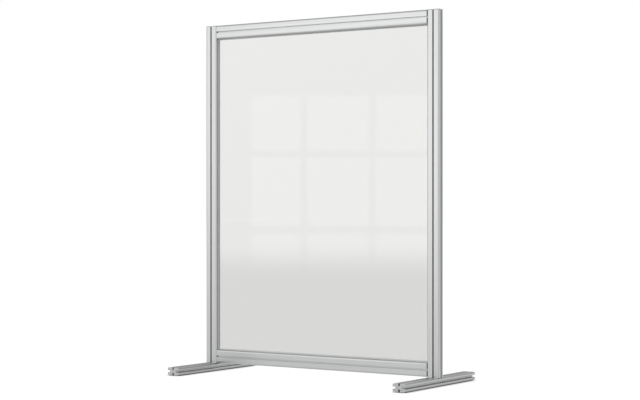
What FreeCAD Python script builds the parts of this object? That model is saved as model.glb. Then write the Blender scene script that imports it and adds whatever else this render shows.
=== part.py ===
import FreeCAD, Part
import math
import os
from types import SimpleNamespace

import Sketcher

# Free-standing desk screen: a clear sheet in a frame of slotted aluminium extrusion on two bar feet.
# Frame: origin on the desk under the middle of the screen, +X along the screen, +Z up, -Y to the front.

# Driving dimensions in millimetres.
DIMENSIONS = {
    # Overall screen
    "screen_width": 800,
    "post_height": 1000,
    "foot_length": 380,
    # Extrusion section: face slots in the wide faces, T-grooves in the narrow edges
    "face_width": 40,
    "section_depth": 23,
    "face_slot_width": 5,
    "core_width": 22,
    "port_wall": 1.95,
    "lip_radius": 2.5,
    "lobe_flat": 0.8,
    "chamber_wall": 1.8,
    # Clear sheet and its glazing gasket
    "panel_thickness": 3,
    "gasket_base": 1.2,
    "gasket_sight": 3,
    "gasket_bulge": 0.5,
    "gasket_round": 4,
    # End caps
    "cap_thickness": 2.5,
    "peg_length": 9,
    "peg_clearance": 0.15,
    # Screws that draw the rails against the posts, heads inside the posts' inner T-grooves
    "screw_diameter": 5,
    "thread_clearance": 0.05,
    "neck_clearance": 0.2,
    "button_diameter": 9.5,
    "button_height": 2.75,
    "button_rim": 1.2,
    "button_crown_diameter": 6,
    "button_socket": 3,
    "button_clearance": 0.45,
    "button_headroom": 0.65,
    "rail_thread": 12.4,
    "key_clearance": 1.5,
    # Screws and washers that hold the feet under the posts
    "cap_head_diameter": 8.5,
    "cap_head_height": 5,
    "cap_head_chamfer": 0.5,
    "cap_head_socket": 4,
    "socket_depth": 1.6,
    "washer_diameter": 10,
    "washer_thickness": 1,
    "washer_clearance": 0.2,
    "hole_clearance": 0.25,
    "post_thread": 20,
    # Rubber pads under the feet
    "pad_thickness": 1,
    "pad_width": 26,
    "pad_length": 34,
    "pad_corner": 4,
    "pad_inset": 10,
}

# A lip is rounded by no more than this share of its thickness.
LIP_SHARE = 0.9
# The gasket's lip leaves the groove's wall at this share of the groove lip's round, and stays clear of it.
GASKET_ROOT = 0.4

document = FreeCAD.newDocument("desk_screen")
sheet = document.addObject("Spreadsheet::Sheet", "Sizes")
for row, (alias, number) in enumerate(DIMENSIONS.items(), start=1):
    sheet.set(f"A{row}", alias)
    sheet.set(f"B{row}", str(number))
    sheet.setAlias(f"B{row}", alias)
document.recompute()


class Size:
    """A length that carries its value in millimetres and the sheet expression that gives it."""

    def __init__(self, value, text):
        self.value = float(value)
        self.text = text

    def __add__(self, other):
        other = as_size(other)
        return Size(self.value + other.value, f"({self.text} + {other.text})")

    def __sub__(self, other):
        other = as_size(other)
        return Size(self.value - other.value, f"({self.text} - {other.text})")

    def __mul__(self, factor):
        return Size(self.value * factor, f"({self.text} * {factor:.9f})")

    def __truediv__(self, divisor):
        return Size(self.value / divisor, f"({self.text} / {divisor:.9f})")

    def __neg__(self):
        return Size(-self.value, f"(0 - {self.text})")


def as_size(item):
    """A plain number as a Size."""
    return item if isinstance(item, Size) else Size(item, f"{item:.9f}")


def smaller(first, second):
    """The lesser of two sizes."""
    return Size(min(first.value, second.value), f"min({first.text}; {second.text})")


size = SimpleNamespace(**{alias: Size(sheet.get(alias), f"Sizes.{alias}") for alias in DIMENSIONS})

# Section sizes that follow from what the extrusion has to hold
half_width = size.face_width / 2
half_depth = size.section_depth / 2
port_diameter = size.screw_diameter + size.thread_clearance * 2
face_slot_depth = half_depth - port_diameter / 2 - size.port_wall
groove_depth = half_width - size.core_width / 2
groove_neck = size.screw_diameter + size.neck_clearance * 2
groove_head = size.button_diameter + size.button_clearance * 2
groove_head_depth = size.button_height + size.button_headroom
lip_thickness = groove_depth - groove_head_depth
lip_radius = smaller(size.lip_radius, lip_thickness * LIP_SHARE)
corner_radius = half_depth - groove_neck / 2 - lip_radius - size.lobe_flat
groove_floor = size.core_width / 2

# Places in the assembled screen
foot_top = size.pad_thickness + size.section_depth
foot_middle = size.pad_thickness + half_depth
screen_top = foot_top + size.post_height
post_x = size.screen_width / 2 - half_width
rail_length = size.screen_width - size.face_width * 2
bottom_rail_z = foot_top + half_width
top_rail_z = screen_top - half_width
sight_height = size.post_height - size.face_width * 2
sight_middle = foot_top + size.post_height / 2
foot_bar_length = size.foot_length - size.cap_thickness * 2
panel_margin = groove_depth - size.gasket_base


def new_body(label):
    """An empty body that becomes one piece."""
    body = document.addObject("PartDesign::Body", label)
    body.Label = label
    return body


def new_sketch(body, name, role="XY_Plane", height=None):
    """A sketch on one of the body's own planes, raised along the plane's normal by height."""
    sketch = body.newObject("Sketcher::SketchObject", name)
    plane = next(item for item in body.Origin.OriginFeatures if item.Role == role)
    sketch.AttachmentSupport = [(plane, "")]
    sketch.MapMode = "FlatFace"
    if height is not None:
        sketch.setExpression("AttachmentOffset.Base.z", height.text)
    return sketch


def bind(sketch, rules):
    """Adds the constraints and ties each sized one to its expression."""
    numbers = sketch.addConstraint([rule for rule, _ in rules])
    for number, (_, measure) in zip(numbers, rules):
        if measure is not None:
            sketch.setExpression(f"Constraints[{number}]", measure.text)


def point_rules(geometry, position, x, y):
    """Rules that hold a point at x and y, or on an axis where the coordinate is the number 0."""
    rules = []
    for coordinate, kind, axis in ((x, "DistanceX", -2), (y, "DistanceY", -1)):
        if isinstance(coordinate, Size):
            rule = Sketcher.Constraint(kind, -1, 1, geometry, position, coordinate.value)
            rules.append((rule, coordinate))
        else:
            rules.append((Sketcher.Constraint("PointOnObject", geometry, position, axis), None))
    return rules


def plain_point(x, y):
    """A sketch point as a vector."""
    return FreeCAD.Vector(as_size(x).value, as_size(y).value, 0)


def left_arc(start, end, radius):
    """The arc of under half a turn that runs anticlockwise from start to end."""
    chord = end - start
    sideways = FreeCAD.Vector(-chord.y, chord.x, 0).normalize()
    rise = math.sqrt(radius ** 2 - (chord.Length / 2) ** 2)
    centre = start + chord / 2 + sideways * rise
    circle = Part.Circle(centre, FreeCAD.Vector(0, 0, 1), radius)
    first = math.atan2(start.y - centre.y, start.x - centre.x)
    last = math.atan2(end.y - centre.y, end.x - centre.x)
    return Part.ArcOfCircle(circle, first, last)


def draw_loop(sketch, corners):
    """A closed anticlockwise outline: each corner is x, y and the radius of the arc to the next, or None."""
    base = sketch.GeometryCount
    count = len(corners)
    shapes = []
    rules = []
    for index, (x, y, radius) in enumerate(corners):
        following = (index + 1) % count
        start = plain_point(x, y)
        end = plain_point(*corners[following][:2])
        rules += point_rules(base + index, 1, x, y)
        joint = Sketcher.Constraint("Coincident", base + index, 2, base + following, 1)
        rules.append((joint, None))
        if radius is None:
            shapes.append(Part.LineSegment(start, end))
        else:
            shapes.append(left_arc(start, end, radius.value))
            rules.append((Sketcher.Constraint("Radius", base + index, radius.value), radius))
    sketch.addGeometry(shapes)
    bind(sketch, rules)


def draw_circle(sketch, x, y, diameter):
    """A full circle about x, y."""
    number = sketch.addGeometry(Part.Circle(plain_point(x, y), FreeCAD.Vector(0, 0, 1), diameter.value / 2))
    round_rule = Sketcher.Constraint("Diameter", number, diameter.value)
    bind(sketch, point_rules(number, 3, x, y) + [(round_rule, diameter)])


def rectangle(left, right, low, high):
    """Corners of an upright rectangle."""
    return [(left, low, None), (right, low, None), (right, high, None), (left, high, None)]


def clipped_rectangle(across, along, corner):
    """Corners of a rectangle about the origin, of those half sizes, with every corner cut off at 45 degrees."""
    return [
        (-across + corner, -along, None), (across - corner, -along, None),
        (across, -along + corner, None), (across, along - corner, None),
        (across - corner, along, None), (-across + corner, along, None),
        (-across, along - corner, None), (-across, -along + corner, None),
    ]


def mirrored_in_x(corners):
    """The open run of corners mirrored across the y axis, in reverse order so that it still turns left."""
    radii = [radius for _, _, radius in corners]
    return [(-x, y, radius) for (x, y, _), radius in zip(reversed(corners), radii[-2::-1] + [None])]


def section_outline(groove_inside):
    """The extrusion's outline, from one quarter: edge groove, rounded lobe, wide face, face slot."""
    slot_side = size.face_slot_width / 2
    quarter = groove_inside + [
        (half_width - lip_radius, groove_neck / 2, lip_radius),
        (half_width, groove_neck / 2 + lip_radius, None),
        (half_width, half_depth - corner_radius, corner_radius),
        (half_width - corner_radius, half_depth, None),
        (slot_side, half_depth, None),
        (slot_side, half_depth - face_slot_depth, None),
    ]
    half = quarter + mirrored_in_x(quarter)
    return half + [(-x, -y, radius) for x, y, radius in half]


def chamber_outlines(inset):
    """The hollow in each of the section's four lobes, drawn in by inset on every side."""
    near = size.face_slot_width / 2 + size.chamber_wall + inset
    far = half_width - corner_radius - inset
    low = groove_head / 2 + size.chamber_wall + inset
    high = half_depth - size.chamber_wall - inset
    outlines = []
    for left, right in ((near, far), (-far, -near)):
        for bottom, top in ((low, high), (-high, -low)):
            outlines.append(rectangle(left, right, bottom, top))
    return outlines


def pad(body, sketch, length, symmetric=False, reverse=False):
    """Material raised from a sketch."""
    feature = body.newObject("PartDesign::Pad", f"{body.Name}_pad")
    feature.Profile = sketch
    feature.Midplane = symmetric
    feature.Reversed = reverse
    feature.setExpression("Length", length.text)
    document.recompute()
    return feature


def pocket(body, sketch, symmetric=False, reverse=False):
    """A cut right through the body; the volume has to fall."""
    before = body.Shape.Volume
    feature = body.newObject("PartDesign::Pocket", f"{body.Name}_pocket")
    feature.Profile = sketch
    feature.Type = "ThroughAll"
    feature.Midplane = symmetric
    feature.Reversed = reverse
    document.recompute()
    if body.Shape.Volume >= before:
        raise RuntimeError(f"{body.Label}: {sketch.Name} cuts nothing")
    return feature


def place(body, x, y, z, rotation=FreeCAD.Rotation()):
    """Puts a piece in its place in the screen; a coordinate of 0 stays unbound."""
    corner = FreeCAD.Vector(as_size(x).value, as_size(y).value, as_size(z).value)
    body.Placement = FreeCAD.Placement(corner, rotation)
    for axis, coordinate in (("x", x), ("y", y), ("z", z)):
        if isinstance(coordinate, Size):
            body.setExpression(f"Placement.Base.{axis}", coordinate.text)


X_AXIS = FreeCAD.Vector(1, 0, 0)
Y_AXIS = FreeCAD.Vector(0, 1, 0)
ALONG_X = FreeCAD.Rotation(Y_AXIS, 90)
ALONG_Y = FreeCAD.Rotation(X_AXIS, -90)
BACK_ALONG_X = FreeCAD.Rotation(Y_AXIS, -90)
BACK_ALONG_Y = FreeCAD.Rotation(X_AXIS, 90)
SIDES = (("left", -post_x), ("right", post_x))
RAILS = (("bottom", bottom_rail_z), ("top", top_rail_z))

nodes = []


# Extrusion: one die section with T-grooves, face slots, four hollow lobes and a screw port in the core.
def extrusion(label, length):
    """A length of the extrusion, standing on its own XY plane."""
    body = new_body(label)
    section = new_sketch(body, f"{label}_section")
    groove_inside = [
        (groove_floor, groove_head / 2, None),
        (half_width - lip_thickness, groove_head / 2, None),
        (half_width - lip_thickness, groove_neck / 2, None),
    ]
    draw_loop(section, section_outline(groove_inside))
    pad(body, section, length)
    for number, outline in enumerate(chamber_outlines(as_size(0))):
        chamber = new_sketch(body, f"{label}_chamber_{number}")
        draw_loop(chamber, outline)
        pocket(body, chamber, reverse=True)
    port = new_sketch(body, f"{label}_port")
    draw_circle(port, 0, 0, port_diameter)
    pocket(body, port, reverse=True)
    nodes.append(body)
    return body


# Posts: upright lengths, bored across the core so that a key reaches the rail screws from the outer groove.
for side, x in SIDES:
    post = extrusion(f"{side}_post", size.post_height - size.cap_thickness)
    key_holes = new_sketch(post, f"{side}_post_key_holes", "YZ_Plane")
    for _, rail_z in RAILS:
        draw_circle(key_holes, 0, rail_z - foot_top, size.button_socket + size.key_clearance)
    pocket(post, key_holes, symmetric=True)
    place(post, x, 0, foot_top)

# Rails: level lengths cut square between the posts, their wide faces flush with the posts'.
for level, z in RAILS:
    rail = extrusion(f"{level}_rail", rail_length)
    place(rail, -rail_length / 2, 0, z, ALONG_X)

# Feet: lengths laid flat and square to the screen, counterbored from below for the post's screw.
for side, x in SIDES:
    foot = extrusion(f"{side}_foot", foot_bar_length)
    screw_hole = new_sketch(foot, f"{side}_foot_screw_hole", "XZ_Plane")
    draw_circle(screw_hole, 0, foot_bar_length / 2, size.screw_diameter + size.hole_clearance * 2)
    pocket(foot, screw_hole, symmetric=True)
    head_well = new_sketch(foot, f"{side}_foot_head_well", "XZ_Plane", face_slot_depth - half_depth)
    draw_circle(head_well, 0, foot_bar_length / 2, size.washer_diameter + size.washer_clearance * 2)
    pocket(foot, head_well)
    place(foot, x, -foot_bar_length / 2, foot_middle, ALONG_Y)


# End caps: moulded plates that repeat the section's outline, with a peg in each hollow lobe.
def end_cap(label):
    """A cap whose plate rises from its XY plane and whose pegs hang below it."""
    body = new_body(label)
    plate = new_sketch(body, f"{label}_plate")
    draw_loop(plate, section_outline([(groove_floor, groove_neck / 2, None)]))
    pad(body, plate, size.cap_thickness)
    for number, outline in enumerate(chamber_outlines(size.peg_clearance)):
        peg = new_sketch(body, f"{label}_peg_{number}")
        draw_loop(peg, outline)
        pad(body, peg, size.peg_length, reverse=True)
    nodes.append(body)
    return body


for side, x in SIDES:
    place(end_cap(f"{side}_post_cap"), x, 0, screen_top - size.cap_thickness)
    place(end_cap(f"{side}_foot_front_cap"), x, -foot_bar_length / 2, foot_middle, BACK_ALONG_Y)
    place(end_cap(f"{side}_foot_rear_cap"), x, foot_bar_length / 2, foot_middle, ALONG_Y)

# Clear sheet: a flat pane that reaches into the frame's inner grooves on all four edges.
panel = new_body("screen_panel")
pane = new_sketch(panel, "screen_panel_pane", "XZ_Plane")
pane_x = rail_length / 2 + panel_margin
pane_z = sight_height / 2 + panel_margin
draw_loop(pane, rectangle(-pane_x, pane_x, -pane_z, pane_z))
pad(panel, pane, size.panel_thickness, symmetric=True)
place(panel, 0, 0, sight_middle)
nodes.append(panel)


# Glazing gasket: a soft channel round the sheet's edge, cut in four lengths with mitred ends.
def gasket(label, sight_length):
    """A length of channel: x across the sheet, y outwards from the sight edge, z along the edge."""
    body = new_body(label)
    section = new_sketch(body, f"{label}_section")
    outer = groove_neck / 2
    inner = size.panel_thickness / 2
    side = [
        (inner, -size.gasket_sight, size.gasket_round),
        (outer + size.gasket_bulge, as_size(0), None),
        (outer, lip_radius * GASKET_ROOT, None),
        (outer, groove_depth, None),
    ]
    half = side + mirrored_in_x(side)
    bed = [(-inner, panel_margin, None), (inner, panel_margin, None)]
    draw_loop(section, half + bed)
    pad(body, section, sight_length + groove_depth * 2, symmetric=True)
    mitres = new_sketch(body, f"{label}_mitres", "YZ_Plane")
    lip = -size.gasket_sight
    inner_end = sight_length / 2 + lip
    outer_end = sight_length / 2 + groove_depth
    draw_loop(mitres, [(lip, inner_end, None), (groove_depth, outer_end, None), (lip, outer_end, None)])
    draw_loop(mitres, [(lip, -outer_end, None), (groove_depth, -outer_end, None), (lip, -inner_end, None)])
    pocket(body, mitres, symmetric=True)
    nodes.append(body)
    return body


def edge_turn(degrees):
    """Turns a gasket length from its own frame to an edge: 0 is the top edge, 90 the right one."""
    return FreeCAD.Rotation(Y_AXIS, degrees) * FreeCAD.Rotation(FreeCAD.Vector(1, 1, 1), 120)


place(gasket("top_gasket", rail_length), 0, 0, sight_middle + sight_height / 2, edge_turn(0))
place(gasket("right_gasket", sight_height), rail_length / 2, 0, sight_middle, edge_turn(90))
place(gasket("bottom_gasket", rail_length), 0, 0, sight_middle - sight_height / 2, edge_turn(180))
place(gasket("left_gasket", sight_height), -rail_length / 2, 0, sight_middle, edge_turn(270))


# Fasteners: each kind is a group of separate screws or washers.
def socket_screw(label, shank, head):
    """A screw whose head stands on its XY plane over the shank, with a hexagon socket in the top."""
    body = new_body(label)
    outline = new_sketch(body, f"{label}_outline", "XZ_Plane")
    radius = size.screw_diameter / 2
    rim = head.diameter / 2
    draw_loop(outline, [
        (0, -shank, None), (radius, -shank, None), (radius, 0, None), (rim, 0, None),
        (rim, head.rim, None), (head.crown / 2, head.height, None), (0, head.height, None),
    ])
    turned = body.newObject("PartDesign::Revolution", f"{label}_turned")
    turned.Profile = outline
    turned.ReferenceAxis = (outline, ["V_Axis"])
    turned.Angle = 360
    document.recompute()
    socket = new_sketch(body, f"{label}_socket", "XY_Plane", head.height - size.socket_depth)
    flat = head.socket / 2
    point = head.socket / math.sqrt(3)
    upper = [(point, 0, None), (point / 2, flat, None), (-point / 2, flat, None)]
    draw_loop(socket, upper + [(-x, -y, None) for x, y, _ in upper])
    pocket(body, socket, reverse=True)
    return body


def group(label, pieces):
    """Like pieces kept together as separate solids."""
    bundle = document.addObject("Part::Compound", label)
    bundle.Label = label
    bundle.Links = pieces
    nodes.append(bundle)


# Rail screws: the head bears behind the post's groove lips and the thread is in the rail's port.
button_head = SimpleNamespace(
    diameter=size.button_diameter, height=size.button_height, rim=size.button_rim,
    crown=size.button_crown_diameter, socket=size.button_socket,
)
head_seat = post_x - half_width + lip_thickness
screws = []
for level, z in RAILS:
    for side, seat, turn in (("left", -head_seat, BACK_ALONG_X), ("right", head_seat, ALONG_X)):
        screw = socket_screw(f"{level}_{side}_rail_screw", lip_thickness + size.rail_thread, button_head)
        place(screw, seat, 0, z, turn)
        screws.append(screw)
group("rail_screws", screws)

# Foot screws: from below, through a washer and the foot's core into the post's port.
cap_head = SimpleNamespace(
    diameter=size.cap_head_diameter, height=size.cap_head_height,
    rim=size.cap_head_height - size.cap_head_chamfer,
    crown=size.cap_head_diameter - size.cap_head_chamfer * 2, socket=size.cap_head_socket,
)
washer_seat = size.pad_thickness + face_slot_depth
screw_seat = washer_seat - size.washer_thickness
screws = []
washers = []
for side, x in SIDES:
    screw = socket_screw(f"{side}_foot_screw", foot_top + size.post_thread - screw_seat, cap_head)
    place(screw, x, 0, screw_seat, FreeCAD.Rotation(X_AXIS, 180))
    screws.append(screw)
    washer = new_body(f"{side}_foot_washer")
    ring = new_sketch(washer, f"{side}_foot_washer_ring")
    draw_circle(ring, 0, 0, size.washer_diameter)
    draw_circle(ring, 0, 0, size.screw_diameter + size.hole_clearance)
    pad(washer, ring, size.washer_thickness)
    place(washer, x, 0, screw_seat)
    washers.append(washer)
group("foot_screws", screws)
group("foot_washers", washers)

# Foot pads: thin rubber stuck under both ends of each foot, which the screen stands on.
pad_reach = size.foot_length / 2 - size.cap_thickness - size.pad_inset - size.pad_length / 2
for side, x in SIDES:
    for end, y in (("front", -pad_reach), ("rear", pad_reach)):
        foot_pad = new_body(f"{side}_foot_{end}_pad")
        shape = new_sketch(foot_pad, f"{side}_foot_{end}_pad_shape")
        draw_loop(shape, clipped_rectangle(size.pad_width / 2, size.pad_length / 2, size.pad_corner))
        pad(foot_pad, shape, size.pad_thickness)
        place(foot_pad, x, y, 0)
        nodes.append(foot_pad)

document.recompute()
for item in document.Objects:
    if "Invalid" in item.State or "Error" in item.State:
        raise RuntimeError(f"{item.Label} failed: {item.State}")
for node in nodes:
    if node.Shape.isNull() or not node.Shape.isValid():
        raise RuntimeError(f"{node.Label} has no valid shape")

os.makedirs("parts", exist_ok=True)
for node in nodes:
    node.Shape.exportStep(f"parts/{node.Label}.step")
    print(node.Label, len(node.Shape.Solids), round(node.Shape.Volume, 1))
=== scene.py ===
import math

import bpy
import numpy as np
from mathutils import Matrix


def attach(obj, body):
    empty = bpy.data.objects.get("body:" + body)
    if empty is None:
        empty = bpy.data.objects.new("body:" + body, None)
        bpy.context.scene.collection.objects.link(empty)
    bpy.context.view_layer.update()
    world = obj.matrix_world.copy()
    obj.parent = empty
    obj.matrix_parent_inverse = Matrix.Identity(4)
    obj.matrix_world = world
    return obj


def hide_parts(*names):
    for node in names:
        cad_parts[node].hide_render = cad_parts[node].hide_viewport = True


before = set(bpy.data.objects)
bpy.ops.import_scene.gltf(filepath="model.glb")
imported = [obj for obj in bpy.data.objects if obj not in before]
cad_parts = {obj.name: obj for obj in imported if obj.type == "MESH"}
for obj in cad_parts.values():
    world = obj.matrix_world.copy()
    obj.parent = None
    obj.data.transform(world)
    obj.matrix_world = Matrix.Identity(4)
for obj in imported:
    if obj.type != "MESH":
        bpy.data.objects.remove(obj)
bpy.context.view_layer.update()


# Slotted extrusion of the posts, rails and feet: one aluminium section, sawn to length.
# Etched and natural anodised to a satin grey, with faint die lines along each length.
# Screws hold the rails between the posts, and the posts on the feet.
DIE_LINES, STREAKS = (900.0, 2.5), (170.0, 0.9)  # per metre, across a length and along it
DIE_LINE_DEPTH = 0.00006
SATIN_DARK, SATIN_LIGHT = (0.464, 0.469, 0.469), (0.528, 0.533, 0.533)
SATIN_ROUGHNESS = (0.35, 0.43)


class Wiring:
    """A node tree with short ways to add nodes. An underscore in an input's name stands for a space,
    and an input takes a constant or the output socket that drives it."""

    def __init__(self, tree):
        self.tree = tree

    def feed(self, socket, value):
        """Joins a driving socket to an input, or gives the input a constant."""
        if isinstance(value, bpy.types.NodeSocket):
            self.tree.links.new(value, socket)
        else:
            socket.default_value = value

    def fill(self, node, inputs):
        """Feeds a node's inputs by name."""
        for name, value in inputs.items():
            self.feed(node.inputs[name.replace("_", " ")], value)

    def add(self, kind, **inputs):
        """A new node of that kind, with its inputs fed."""
        node = self.tree.nodes.new(f"ShaderNode{kind}")
        self.fill(node, inputs)
        return node


class Finish(Wiring):
    """A material with one Principled shader, whose inputs vary with noise."""

    MOST_NOISE = (0.3, 0.7)  # nearly all of a noise's values lie between these

    def __init__(self, name, **constants):
        self.material = bpy.data.materials.new(name)
        self.material.use_nodes = True
        super().__init__(self.material.node_tree)
        self.shader = self.tree.nodes["Principled BSDF"]
        self.fill(self.shader, constants)

    def noise(self, per_metre, detail, roughness=0.5):
        """Noise on the piece's own coordinates, with so many features per metre along each axis."""
        place = self.add("TexCoord").outputs["Object"]
        stretched = self.add("Mapping", Vector=place, Scale=per_metre).outputs["Vector"]
        noise = self.add("TexNoise", Vector=stretched, Scale=1.0, Detail=detail, Roughness=roughness)
        return noise.outputs["Fac"]

    def drawn(self, length_axis, across, along, detail, roughness=0.5):
        """Noise drawn out along one axis, with so many features per metre across it and along it."""
        per_metre = [across] * 3
        per_metre[length_axis] = along
        return self.noise(per_metre, detail, roughness)

    def colour(self, value, dark, light):
        """Drives the base colour between two colours."""
        ramp = self.add("ValToRGB", Fac=value)
        for stop, position, shade in zip(ramp.color_ramp.elements, self.MOST_NOISE, (dark, light)):
            stop.position = position
            stop.color = (*shade, 1.0)
        self.feed(self.shader.inputs["Base Color"], ramp.outputs["Color"])

    def roughness(self, value, low, high):
        """Drives the roughness between two values."""
        start, finish = self.MOST_NOISE
        spread = self.add("MapRange", Value=value, From_Min=start, From_Max=finish,
                          To_Min=low, To_Max=high)
        self.feed(self.shader.inputs["Roughness"], spread.outputs["Result"])

    def bump(self, value, depth):
        """Raises the surface by a value, of that depth in metres."""
        bump = self.add("Bump", Height=value, Distance=depth)
        self.feed(self.shader.inputs["Normal"], bump.outputs["Normal"])


def anodised(name, length_axis):
    """Satin anodised aluminium whose die lines run along one axis of the screen."""
    finish = Finish(name, Metallic=1.0)
    lines = finish.drawn(length_axis, *DIE_LINES, detail=4.0, roughness=0.6)
    streaks = finish.drawn(length_axis, *STREAKS, detail=2.0)
    finish.colour(lines, SATIN_DARK, SATIN_LIGHT)
    finish.roughness(streaks, *SATIN_ROUGHNESS)
    finish.bump(lines, DIE_LINE_DEPTH)
    return finish.material


def give_finish(node, material):
    """Gives a CAD node its finish."""
    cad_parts[node].material_slots[0].material = material


for axis, bars in ((2, ("left_post", "right_post")), (0, ("bottom_rail", "top_rail")),
                   (1, ("left_foot", "right_foot"))):
    metal = anodised(f"satin_aluminium_{'xyz'[axis]}", axis)
    for bar in bars:
        give_finish(bar, metal)


# Clear sheet: cast acrylic, faintly grey, with a hard glossy coat on both faces.
# It is cut square and held in the gasket on all four edges, and has cast sheet's slight wave.
SHEET_TINT, SHEET_INDEX = (0.663, 0.665, 0.650, 1.0), 1.49
GLOSS_INDEX, GLOSS_ROUGHNESS = 1.88, 0.03
HAZE_PER_METRE, HAZE_ROUGHNESS = (14.0, 14.0, 9.0), (0.02, 0.05)
WAVES_PER_METRE, WAVE_DEPTH = (5.0, 5.0, 5.0), 0.0004

sheet_finish = Finish(
    "clear_acrylic", Base_Color=SHEET_TINT, Transmission_Weight=1.0, IOR=SHEET_INDEX,
    Coat_Weight=1.0, Coat_IOR=GLOSS_INDEX, Coat_Roughness=GLOSS_ROUGHNESS,
)
sheet_finish.roughness(sheet_finish.noise(HAZE_PER_METRE, detail=5.0), *HAZE_ROUGHNESS)
sheet_finish.bump(sheet_finish.noise(WAVES_PER_METRE, detail=1.0), WAVE_DEPTH)
give_finish("screen_panel", sheet_finish.material)
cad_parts["screen_panel"].visible_shadow = False  # light passes through it to the floor


# Glazing gasket: grey soft channel pressed round the sheet's edge, its lip showing 3 mm inside
# the frame. Drawn through a die, so faint lines run along each length, and a patchy dull bloom
# lies on it.
BLOOM_PER_METRE, BLOOM_ROUGHNESS = (220.0, 220.0, 220.0), (0.56, 0.68)
GASKET_DARK, GASKET_LIGHT = (0.59, 0.595, 0.59), (0.66, 0.665, 0.66)
DRAW_LINES, DRAW_LINE_DEPTH = (1200.0, 6.0), 0.00004  # per metre, across a length and along it


def drawn_rubber(name, length_axis):
    """Grey rubber with a patchy bloom, whose drawing lines run along one axis of the screen."""
    finish = Finish(name)
    bloom = finish.noise(BLOOM_PER_METRE, detail=3.0)
    finish.colour(bloom, GASKET_DARK, GASKET_LIGHT)
    finish.roughness(bloom, *BLOOM_ROUGHNESS)
    finish.bump(finish.drawn(length_axis, *DRAW_LINES, detail=2.0), DRAW_LINE_DEPTH)
    return finish.material


for axis, edges in ((0, ("top", "bottom")), (2, ("left", "right"))):
    rubber = drawn_rubber(f"grey_gasket_{'xyz'[axis]}", axis)
    for edge in edges:
        give_finish(f"{edge}_gasket", rubber)


# Rail screws and foot screws: bright zinc plated steel, with rolled threads under button heads
# and cap heads with hexagon sockets. A button head draws each rail's end to its post, and a cap
# head each foot. Sizes from here to the pads are in millimetres, a finish's depth in metres.
PITCH, THREAD_RADIUS, ROOT_RADIUS = 0.8, 2.5, 2.05
FLANK_START, FLANK_SPAN = 0.15, 0.7  # where a flank rises, as shares of half a pitch
POINT_LENGTH, POINT_TAPER = 0.3, 0.85
RIM_EDGE, SOCKET_CHAMFER, SOCKET_DEPTH = 0.2, 0.15, 1.6
AROUND, RINGS_PER_PITCH, DOME_RINGS = 36, 5, 9
TURN_ANGLES = np.linspace(0, 2 * np.pi, AROUND, endpoint=False)
CREASE = math.radians(35)
RAIL_SEAT, RAIL_LEVELS = 365.6, (44.0, 1004.0)
POST_X, WASHER_LOW = 380.0, 7.0
OUT_LEFT = ((0, 0, 1), (0, 1, 0), (-1, 0, 0))  # where a shell's own x, y and z point
OUT_RIGHT = ((0, 0, -1), (0, 1, 0), (1, 0, 0))
HEAD_DOWN = ((1, 0, 0), (0, -1, 0), (0, 0, -1))
SPANGLES_PER_METRE, SPANGLE_DEPTH = (900.0, 900.0, 900.0), 0.00003
ZINC_DARK, ZINC_LIGHT, ZINC_ROUGHNESS = (0.5, 0.51, 0.53), (0.62, 0.63, 0.65), (0.26, 0.4)

zinc_finish = Finish("zinc_plate", Metallic=1.0)
spangle = zinc_finish.noise(SPANGLES_PER_METRE, detail=3.0)
zinc_finish.colour(spangle, ZINC_DARK, ZINC_LIGHT)
zinc_finish.roughness(spangle, *ZINC_ROUGHNESS)
zinc_finish.bump(spangle, SPANGLE_DEPTH)


def skin(rings, looped=False):
    """Points and faces of a skin over a stack of closed rings: quads between neighbouring rings, and
    a flat polygon on the first and last ring, or quads from the last to the first if it is looped."""
    count, around = rings.shape[:2]
    points = rings.reshape(-1, 3)
    index = np.arange(count * around).reshape(count, around)
    onward = np.roll(index, -1, axis=1)
    above, onward_above = np.roll(index, -1, axis=0), np.roll(onward, -1, axis=0)
    quads = np.stack([index, onward, onward_above, above], axis=-1)
    if looped:
        return points, quads.reshape(-1, 4), []
    return points, quads[:-1].reshape(-1, 4), [index[0, ::-1], index[-1]]


def placed(shell, origin, axes):
    """A shell whose every point becomes an origin plus its x, y and z times the three given axes."""
    points, quads, ends = shell
    return np.asarray(origin) + points @ np.asarray(axes, float), quads, ends


def dress(name, shells, finish, node):
    """Makes shells, in millimetres, one piece with smooth faces and creased edges, which rides on the
    screen and stands for a CAD node."""
    start = np.cumsum([0] + [len(points) for points, _, _ in shells])
    points = np.concatenate([shell[0] for shell in shells]) / 1000
    quads = np.concatenate([shell[1] + first for shell, first in zip(shells, start)])
    ends = [end + first for shell, first in zip(shells, start) for end in shell[2]]
    mesh = bpy.data.meshes.new(name)
    mesh.from_pydata(points.tolist(), [], quads.tolist() + [end.tolist() for end in ends])
    mesh.shade_smooth()
    mesh.set_sharp_from_angle(angle=CREASE)
    mesh.materials.append(finish.material)
    piece = bpy.data.objects.new(name, mesh)
    bpy.context.scene.collection.objects.link(piece)
    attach(piece, "root")
    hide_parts(node)


def turned(radius, height):
    """Rings whose x and y are a radius times the cosine and sine of a turn, and z a height. Both are
    given for each ring, in a column, or for each ring and angle."""
    radius, height, angle = np.broadcast_arrays(radius, height, TURN_ANGLES)
    return np.stack([radius * np.cos(angle), radius * np.sin(angle), height], axis=-1)


def column(*values):
    """Values as a column, one for each ring."""
    return np.array(values)[:, None]


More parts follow.
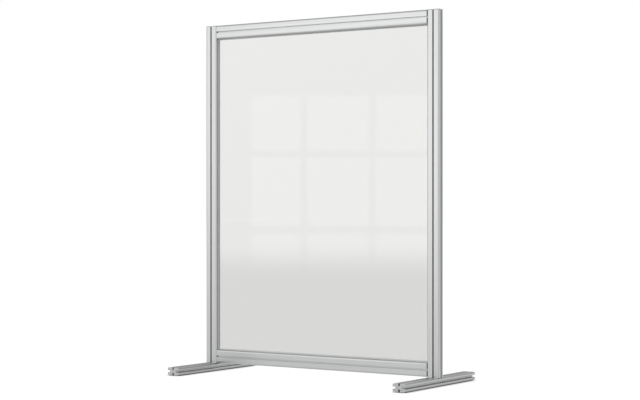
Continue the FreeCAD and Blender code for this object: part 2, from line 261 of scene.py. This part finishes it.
def socket_screw(shank, rim_radius, rim_height, crown_radius, height, socket):
    """A screw that stands on its head's seat. The thread's radius is the root plus a flat-topped wave
    of height over pitch less angle over a turn. The head is an ellipse's quarter from rim to crown.
    The socket's radius is half its width over the cosine of the angle from the nearest flat's
    middle."""
    level = np.linspace(POINT_LENGTH - shank, 0, int(shank / PITCH * RINGS_PER_PITCH))[:, None]
    turn = level / PITCH - TURN_ANGLES / (2 * np.pi)
    wave = 1 - np.abs(2 * (turn % 1) - 1)
    flank = np.clip((wave - FLANK_START) / FLANK_SPAN, 0, 1)
    run_out = np.clip((level + shank) / PITCH, 0, 1) * np.clip(-level / PITCH, 0, 1)
    dome = np.linspace(0, np.pi / 2, DOME_RINGS)[:, None]
    hexagon = socket / 2 / np.cos(TURN_ANGLES % (np.pi / 3) - np.pi / 6)
    return skin(np.concatenate([
        turned(ROOT_RADIUS * POINT_TAPER, column(-shank)),
        turned(ROOT_RADIUS + (THREAD_RADIUS - ROOT_RADIUS) * run_out * flank, level),
        turned(column(rim_radius - RIM_EDGE, rim_radius), column(0.0, RIM_EDGE)),
        turned(crown_radius + (rim_radius - crown_radius) * np.cos(dome),
               rim_height + (height - rim_height) * np.sin(dome)),
        turned(hexagon + SOCKET_CHAMFER, column(height)),
        turned(hexagon, column(height - SOCKET_CHAMFER, height - SOCKET_DEPTH)),
    ]))


rail_screw = socket_screw(shank=18.0, rim_radius=4.75, rim_height=1.2, crown_radius=3.0,
                          height=2.75, socket=3.0)
dress("rail_screws_zinc", [
    placed(rail_screw, (side * RAIL_SEAT, 0, level), axes)
    for level in RAIL_LEVELS for side, axes in ((-1, OUT_LEFT), (1, OUT_RIGHT))
], zinc_finish, "rail_screws")

foot_screw = socket_screw(shank=37.0, rim_radius=4.25, rim_height=4.5, crown_radius=3.75,
                          height=5.0, socket=4.0)
dress("foot_screws_zinc", [
    placed(foot_screw, (x, 0, WASHER_LOW), HEAD_DOWN) for x in (-POST_X, POST_X)
], zinc_finish, "foot_screws")


# Foot washers: stamped steel rings under the cap heads, zinc plated like the screws.
# The punch leaves one face rounded over at both edges and the other nearly square.
WASHER_THICK, WASHER_OUTER, WASHER_INNER = 1.0, 5.0, 2.625
SQUARE_EDGE, SQUARE_STEPS = 0.08, 3
ROUND_EDGE, ROUND_STEPS = 0.25, 6
UPRIGHT = np.eye(3)


def arc(x, y, radius, start, finish, steps):
    """Points of an arc: a centre plus a radius times the cosine and sine of angles in degrees."""
    angle = np.radians(np.linspace(start, finish, steps))
    return np.stack([x + radius * np.cos(angle), y + radius * np.sin(angle)], axis=-1)


square_level = WASHER_THICK - SQUARE_EDGE
washer_section = np.concatenate([
    arc(WASHER_OUTER - SQUARE_EDGE, square_level, SQUARE_EDGE, 0, 90, SQUARE_STEPS),
    arc(WASHER_INNER + SQUARE_EDGE, square_level, SQUARE_EDGE, 90, 180, SQUARE_STEPS),
    arc(WASHER_INNER + ROUND_EDGE, ROUND_EDGE, ROUND_EDGE, 180, 270, ROUND_STEPS),
    arc(WASHER_OUTER - ROUND_EDGE, ROUND_EDGE, ROUND_EDGE, 270, 360, ROUND_STEPS),
])
washer = skin(turned(washer_section[:, :1], washer_section[:, 1:]), looped=True)
dress("foot_washers_zinc", [
    placed(washer, (x, 0, WASHER_LOW), UPRIGHT) for x in (-POST_X, POST_X)
], zinc_finish, "foot_washers")


# End caps: moulded plates that close the foot ends and post tops and repeat the extrusion's outline.
# Grained grey plastic with a rounded front edge and a fine joint line. Four tapered pegs push into
# the section's hollow lobes.
HALF_FACE, HALF_EDGE = 20.0, 11.5
LOBE_RADIUS, LOBE_STEPS, LIP_RADIUS, LIP_STEPS = 5.5, 19, 2.5, 10
HALF_NOTCH, NOTCH_FLOOR, HALF_SLOT, SLOT_FLOOR = 2.7, 11.0, 2.5, 4.5
CAP_THICK, CAP_ROUND, CAP_JOINT = 2.5, 0.6, 0.15
PEG_SIZE, PEG_CORNER, PEG_PLACE = (9.9, 2.4), 0.4, (9.4, 8.35)
PEG_LENGTH, PEG_TIP, PEG_TAPER, PEG_ROOT = 9.0, 1.4, 0.35, 0.2
CORNER_STEPS = 7
POST_CAP_LOW, FOOT_BAR_END, FOOT_MIDDLE = 1021.5, 187.5, 12.5
FACING_FRONT = ((1, 0, 0), (0, 0, 1), (0, -1, 0))
FACING_REAR = ((1, 0, 0), (0, 0, -1), (0, 1, 0))
GRAIN_PER_METRE, GRAIN_DEPTH = (1500.0, 1500.0, 1500.0), 0.00008
CAP_DARK, CAP_LIGHT = (0.548, 0.553, 0.553), (0.626, 0.631, 0.631)
CAP_ROUGHNESS = (0.42, 0.6)

cap_finish = Finish("grained_grey_plastic")
grain = cap_finish.noise(GRAIN_PER_METRE, detail=2.0)
cap_finish.colour(grain, CAP_DARK, CAP_LIGHT)
cap_finish.roughness(grain, *CAP_ROUGHNESS)
cap_finish.bump(grain, GRAIN_DEPTH)


def raised(outline, profile):
    """A skin over rings of an anticlockwise outline, each drawn in along the corners' mitres by an
    inset of the profile and set at its height. A corner's mitre is the sum of its two edges' inward
    normals over one plus their dot product."""
    edge = np.roll(outline, -1, axis=0) - outline
    edge = edge / np.linalg.norm(edge, axis=1, keepdims=True)
    inward = np.stack([-edge[:, 1], edge[:, 0]], axis=-1)
    before = np.roll(inward, 1, axis=0)
    mitre = (before + inward) / (1 + np.sum(before * inward, axis=1, keepdims=True))
    inset, height = np.array(profile).T
    plan = outline + mitre * inset[:, None, None]
    level = np.broadcast_to(height[:, None, None], plan.shape[:2] + (1,))
    return skin(np.concatenate([plan, level], axis=-1))


def rounded_rectangle(width, length, radius, middle=(0.0, 0.0)):
    """An anticlockwise rectangle with four quarter-circle corners."""
    x, y = width / 2 - radius, length / 2 - radius
    corners = ((x, y, 0), (-x, y, 90), (-x, -y, 180), (x, -y, 270))
    return middle + np.concatenate([
        arc(u, w, radius, start, start + 90, CORNER_STEPS) for u, w, start in corners
    ])


cap_quarter = np.concatenate([
    [(NOTCH_FLOOR, HALF_NOTCH)],
    arc(HALF_FACE - LIP_RADIUS, HALF_NOTCH + LIP_RADIUS, LIP_RADIUS, -90, 0, LIP_STEPS),
    arc(HALF_FACE - LOBE_RADIUS, HALF_EDGE - LOBE_RADIUS, LOBE_RADIUS, 0, 90, LOBE_STEPS),
    [(HALF_SLOT, HALF_EDGE), (HALF_SLOT, SLOT_FLOOR)],
])
cap_half = np.concatenate([cap_quarter, cap_quarter[::-1] * (-1, 1)])
cap_outline = np.concatenate([cap_half, -cap_half])
plate = raised(cap_outline, np.concatenate([
    [(CAP_JOINT, 0), (0, CAP_JOINT)],
    arc(CAP_ROUND, CAP_THICK - CAP_ROUND, CAP_ROUND, 180, 90, CORNER_STEPS),
]))
peg_profile = [(PEG_TAPER, -PEG_LENGTH), (0, PEG_TIP - PEG_LENGTH), (0, PEG_ROOT)]
pegs = [
    raised(rounded_rectangle(*PEG_SIZE, PEG_CORNER, (u * PEG_PLACE[0], w * PEG_PLACE[1])),
           peg_profile)
    for u in (-1, 1) for w in (-1, 1)
]
for side, x in (("left", -POST_X), ("right", POST_X)):
    for end, origin, axes in (
        ("post", (x, 0, POST_CAP_LOW), UPRIGHT),
        ("foot_front", (x, -FOOT_BAR_END, FOOT_MIDDLE), FACING_FRONT),
        ("foot_rear", (x, FOOT_BAR_END, FOOT_MIDDLE), FACING_REAR),
    ):
        shells = [placed(shell, origin, axes) for shell in [plate] + pegs]
        dress(f"{side}_{end}_cap_moulded", shells, cap_finish, f"{side}_{end}_cap")


# Foot pads: dark rubber, pressed in a mould with a raised rim that grips the desk.
# One is stuck under both ends of each foot.
PAD_WIDE, PAD_LONG, PAD_CORNER, PAD_REACH = 26.0, 34.0, 4.0, 160.5
PAD_PROFILE = [  # inset and height, from the recess over the rim to the face on the foot
    (3.8, 0.3), (3.4, 0.06), (3.2, 0.0), (0.4, 0.0), (0.12, 0.12), (0.0, 0.4), (0.0, 1.0),
]
PEBBLES_PER_METRE, PEBBLE_DEPTH = (1500.0, 1500.0, 1500.0), 0.0001
PAD_DARK, PAD_LIGHT, PAD_ROUGHNESS = (0.02, 0.02, 0.02), (0.04, 0.04, 0.04), (0.7, 0.88)

pad_finish = Finish("dark_rubber")
pebble = pad_finish.noise(PEBBLES_PER_METRE, detail=2.0)
pad_finish.colour(pebble, PAD_DARK, PAD_LIGHT)
pad_finish.roughness(pebble, *PAD_ROUGHNESS)
pad_finish.bump(pebble, PEBBLE_DEPTH)

pad = raised(rounded_rectangle(PAD_WIDE, PAD_LONG, PAD_CORNER), PAD_PROFILE)
for side, x in (("left", -POST_X), ("right", POST_X)):
    for end, y in (("front", -PAD_REACH), ("rear", PAD_REACH)):
        name = f"{side}_foot_{end}_pad"
        dress(f"{name}_pressed", [placed(pad, (x, y, 0), UPRIGHT)], pad_finish, name)


# Studio floor: a wide pale plane just under the pads, which is no part of the screen.
# It shows white to the camera and a little dimmer in the sheet. Close to the feet, ambient occlusion
# darkens its glow, a narrow painted shade next to the real shade of its matt part. Sizes from here on
# are in metres.
FLOOR_REACH, FLOOR_DROP = 30.0, 0.0002
FLOOR_COLOUR, FLOOR_GLOW, FLOOR_MIRRORED = (0.45, 0.45, 0.45, 1.0), 0.76, 0.84
SHADE_REACH, SHADE_SAMPLES = 0.02, 8


class Studio(Wiring):
    """A floor's, surround's or lamp's node tree, with ways to work on numbers and vectors."""

    def operate(self, kind, operation, values):
        """A new node that works an operation on values, fed in order."""
        node = self.add(kind)
        node.operation = operation
        for socket, value in zip(node.inputs, values):
            self.feed(socket, value)
        return node

    def math(self, operation, *numbers):
        """The result of an operation on numbers."""
        return self.operate("Math", operation, numbers).outputs["Value"]

    def along(self, vector, axis):
        """How far a vector goes along an axis: their dot product."""
        return self.operate("VectorMath", "DOT_PRODUCT", (vector, axis)).outputs["Value"]

    def rise(self, value, start, finish, low=0.0, high=1.0):
        """Goes smoothly from low to high as the value goes from start to finish."""
        step = self.add("MapRange", Value=value, From_Min=start, From_Max=finish,
                        To_Min=low, To_Max=high)
        step.interpolation_type = "SMOOTHSTEP"
        return step.outputs["Result"]


floor_mesh = bpy.data.meshes.new("studio_floor")
floor_corners = np.array([(-1, -1, 0), (1, -1, 0), (1, 1, 0), (-1, 1, 0)]) * FLOOR_REACH
floor_mesh.from_pydata((floor_corners - (0, 0, FLOOR_DROP)).tolist(), [], [(0, 1, 2, 3)])
floor = bpy.data.objects.new("studio_floor", floor_mesh)
bpy.context.scene.collection.objects.link(floor)

floor_material = bpy.data.materials.new("pale_floor")
floor_material.use_nodes = True
floor_mesh.materials.append(floor_material)
pale = Studio(floor_material.node_tree)
pale.tree.nodes.clear()
floor_ray = pale.add("LightPath").outputs
by_sheet = pale.math("MAXIMUM", floor_ray["Is Glossy Ray"], floor_ray["Is Transmission Ray"])
mirrored = pale.math("MULTIPLY", by_sheet, FLOOR_MIRRORED)
floor_seen = pale.math("MAXIMUM", floor_ray["Is Camera Ray"], mirrored)
# Ambient occlusion darkens the glow close to the feet: a painted contact shade.
shade = pale.add("AmbientOcclusion", Distance=SHADE_REACH)
shade.samples = SHADE_SAMPLES
glow = pale.math("MULTIPLY", pale.math("MULTIPLY", shade.outputs["AO"], FLOOR_GLOW), floor_seen)
matt = pale.add("BsdfDiffuse", Color=FLOOR_COLOUR)
both = pale.add("AddShader")
pale.feed(both.inputs[0], matt.outputs[0])
pale.feed(both.inputs[1], pale.add("Emission", Strength=glow).outputs[0])
pale.add("OutputMaterial", Surface=both.outputs[0])


# Surround: white where it is seen directly or through the sheet. As light it is a pale room, dimmer
# above and behind the screen, with a brighter band low behind the right post.
WALL_LIGHT, DIM_LIGHT, BAND_EXTRA = 0.92, 0.62, 0.5
TO_BACK_TOP, DIM_START, DIM_FULL = (-0.35, 0.6, 0.72), 0.1, 0.8
TO_RIGHT, BAND_START, BAND_FULL = (0.83, 0.56, 0.0), 0.3, 0.9
BAND_TOP, BAND_LOW = 0.3, 0.02

world = bpy.data.worlds.new("studio_surround")
bpy.context.scene.world = world
world.use_nodes = True
room = Studio(world.node_tree)
room.tree.nodes.clear()
direction = room.add("TexCoord").outputs["Generated"]
upward = room.add("SeparateXYZ", Vector=direction).outputs["Z"]
walls = room.rise(room.along(direction, TO_BACK_TOP), DIM_START, DIM_FULL, WALL_LIGHT, DIM_LIGHT)
to_right = room.rise(room.along(direction, TO_RIGHT), BAND_START, BAND_FULL, 0.0, BAND_EXTRA)
band = room.math("MULTIPLY", to_right, room.rise(upward, BAND_TOP, BAND_LOW))
room_ray = room.add("LightPath").outputs
room_seen = room.math("MAXIMUM", room_ray["Is Camera Ray"], room_ray["Is Transmission Ray"])
strength = room.add("Mix", Factor=room_seen, A=room.math("ADD", walls, band), B=1.0)
surround = room.add("Background", Color=(1.0, 1.0, 1.0, 1.0), Strength=strength.outputs["Result"])
room.add("OutputWorld", Surface=surround.outputs[0])


# Window light: a wall that brightens upwards, with a large barred window, to the screen's front left.
# Its lower edge is soft, and its image lies in the upper part of the sheet. It lights the screen and
# not the floor.
WINDOW_DISTANCE, WINDOW_SHIFT, WINDOW_TURN = 3.0, 0.5, math.radians(-34.0)
WINDOW_LOW, WINDOW_FADE, WINDOW_TALL, WINDOW_WIDE = 0.145, 0.18, 2.2, 2.6
WALL_FOOT, WALL_HEAD, WALL_DARK, WALL_BRIGHT = 0.2, 1.5, 0.87, 0.99
PANE_LEFT, PANE_TOP, PANE_EDGE = -0.315 - WINDOW_SHIFT, 1.005, 0.006
PANE_WIDE, PANE_TALL, PANE_EXTRA = 0.32, 0.356, 0.26
BAR_LEFT, BAR_LOW, BAR_WIDE, BAR_SOFT = PANE_LEFT - 0.075, 0.019, 0.018, 0.25
FACING = (math.radians(90), 0.0, WINDOW_TURN)
BLACK, WHITE = (0.0, 0.0, 0.0, 1.0), (1.0, 1.0, 1.0, 1.0)

window_data = bpy.data.lights.new("window_light", "AREA")
window_data.shape = "RECTANGLE"
window_data.size = WINDOW_WIDE
window_data.size_y = WINDOW_TALL
window_data.energy = math.pi * WINDOW_WIDE * WINDOW_TALL
window = bpy.data.objects.new("window_light", window_data)
bpy.context.scene.collection.objects.link(window)
window.location = (
    WINDOW_DISTANCE * math.sin(WINDOW_TURN) + WINDOW_SHIFT * math.cos(WINDOW_TURN),
    WINDOW_SHIFT * math.sin(WINDOW_TURN) - WINDOW_DISTANCE * math.cos(WINDOW_TURN),
    WINDOW_LOW + WINDOW_TALL / 2,
)
window.rotation_euler = FACING
window.visible_camera = False
window.visible_transmission = False
unlit = bpy.data.collections.new("not_lit_by_window")
unlit.objects.link(floor)
unlit.collection_objects[0].light_linking.link_state = "EXCLUDE"
window.light_linking.receiver_collection = unlit

window_data.use_nodes = True
glass = Studio(window_data.node_tree)
upright = glass.add("Mapping", Vector=glass.add("NewGeometry").outputs["Position"],
                    Location=(window.location[0], window.location[1], 0.0), Rotation=FACING)
upright.vector_type = "TEXTURE"
place = upright.outputs["Vector"]
across = glass.add("SeparateXYZ", Vector=place).outputs
first_pane = (BAR_LEFT - PANE_WIDE, BAR_LOW, 0.0)
from_first_pane = glass.operate("VectorMath", "SUBTRACT", (place, first_pane)).outputs["Vector"]
grid = glass.add("TexBrick", Vector=from_first_pane, Color1=WHITE, Color2=WHITE, Mortar=BLACK,
                 Scale=1.0, Mortar_Size=BAR_WIDE, Mortar_Smooth=BAR_SOFT,
                 Brick_Width=PANE_WIDE, Row_Height=PANE_TALL)
grid.offset = 0.0
inside = glass.math("MULTIPLY",
                    glass.rise(across["X"], PANE_LEFT - PANE_EDGE, PANE_LEFT + PANE_EDGE),
                    glass.rise(across["Y"], PANE_TOP + PANE_EDGE, PANE_TOP - PANE_EDGE))
panes = glass.math("MULTIPLY", glass.math("MULTIPLY", grid.outputs["Color"], inside), PANE_EXTRA)
wall = glass.rise(across["Y"], WALL_FOOT, WALL_HEAD, WALL_DARK, WALL_BRIGHT)
lit = glass.math("MULTIPLY", glass.math("ADD", panes, wall),
                 glass.rise(across["Y"], WINDOW_LOW, WINDOW_LOW + WINDOW_FADE))
glass.feed(glass.tree.nodes["Emission"].inputs["Strength"], lit)


# Camera: level, at the height of the screen's middle and 4.6 m from it, 34 degrees to the right of
# square-on. Its lens and a slight rise frame the screen.
CAMERA_PLACE, CAMERA_TURN = (2.600, -3.855, 0.492), math.radians(33.97)
CAMERA_SENSOR, CAMERA_LENS, CAMERA_RISE = 36.0, 91.85, 0.0079

camera_data = bpy.data.cameras.new("photo_camera")
camera_data.sensor_width = CAMERA_SENSOR
camera_data.lens = CAMERA_LENS
camera_data.shift_y = CAMERA_RISE
camera = bpy.data.objects.new("photo_camera", camera_data)
camera.location = CAMERA_PLACE
camera.rotation_euler = (math.radians(90), 0.0, CAMERA_TURN)
bpy.context.scene.collection.objects.link(camera)
bpy.context.scene.camera = camera
bpy.context.scene.view_settings.view_transform = "Standard"
